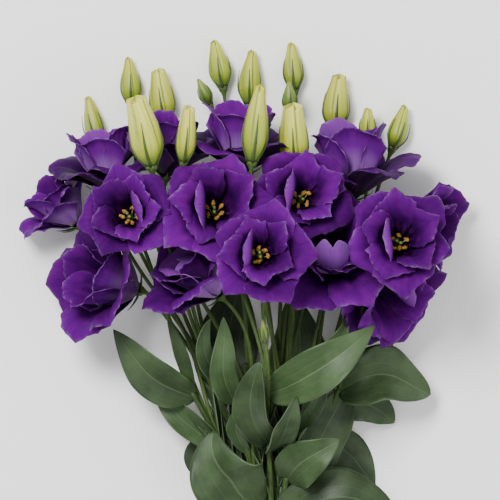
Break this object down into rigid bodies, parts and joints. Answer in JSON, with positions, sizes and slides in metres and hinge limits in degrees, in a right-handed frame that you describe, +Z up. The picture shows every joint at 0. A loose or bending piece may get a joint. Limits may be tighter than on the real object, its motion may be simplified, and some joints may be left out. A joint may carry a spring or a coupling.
{
  "type": "lisianthus flower bunch",
  "caption": "Tied bunch of cut double lisianthus lying down, with open violet blooms, twisted pale buds and broad leaves.",
  "frame": {"origin": "on the table, at the middle of the lying bunch's bounding box", "axes": "+Y along the stems from their cut ends to the blooms, +Z up from the table, +X to the right seen from above"},
  "size_m": [0.3354, 0.536, 0.1585],
  "materials": {
    "stem": "waxy matt grey-green stalks and leaves",
    "petal": "velvety deep violet petals",
    "heart": "matt yellow anthers round a green pistil",
    "bud": "smooth pale yellow-green buds",
    "tie": "matt natural twine"
  },
  "bodies": {
    "root": {"stem_1": "stem", "stem_2": "stem", "stem_3": "stem", "stem_4": "stem", "stem_5": "stem", "stem_6": "stem", "stem_7": "stem", "stem_8": "stem", "stem_9": "stem", "stem_10": "stem", "bloom_1": "petal", "bloom_2": "petal", "bloom_3": "petal", "bloom_4": "petal", "bloom_5": "petal", "bloom_6": "petal", "bloom_7": "petal", "bloom_8": "petal", "bloom_9": "petal", "bloom_10": "petal", "bloom_11": "petal", "bloom_12": "petal", "bloom_13": "petal", "bloom_14": "petal", "bloom_15": "petal", "heart_1": "heart", "heart_2": "heart", "heart_3": "heart", "heart_4": "heart", "heart_5": "heart", "heart_6": "heart", "heart_7": "heart", "heart_8": "heart", "heart_9": "heart", "heart_10": "heart", "heart_11": "heart", "heart_12": "heart", "heart_13": "heart", "heart_14": "heart", "heart_15": "heart", "bud_1": "bud", "bud_2": "bud", "bud_3": "bud", "bud_4": "bud", "bud_5": "bud", "bud_6": "bud", "bud_7": "bud", "bud_8": "bud", "bud_9": "bud", "bud_10": "bud", "bud_11": "bud", "bud_12": "bud", "bud_13": "bud", "bud_14": "bud", "bud_15": "bud", "bud_16": "bud", "tie": "tie"}
  },
  "joints": []
}
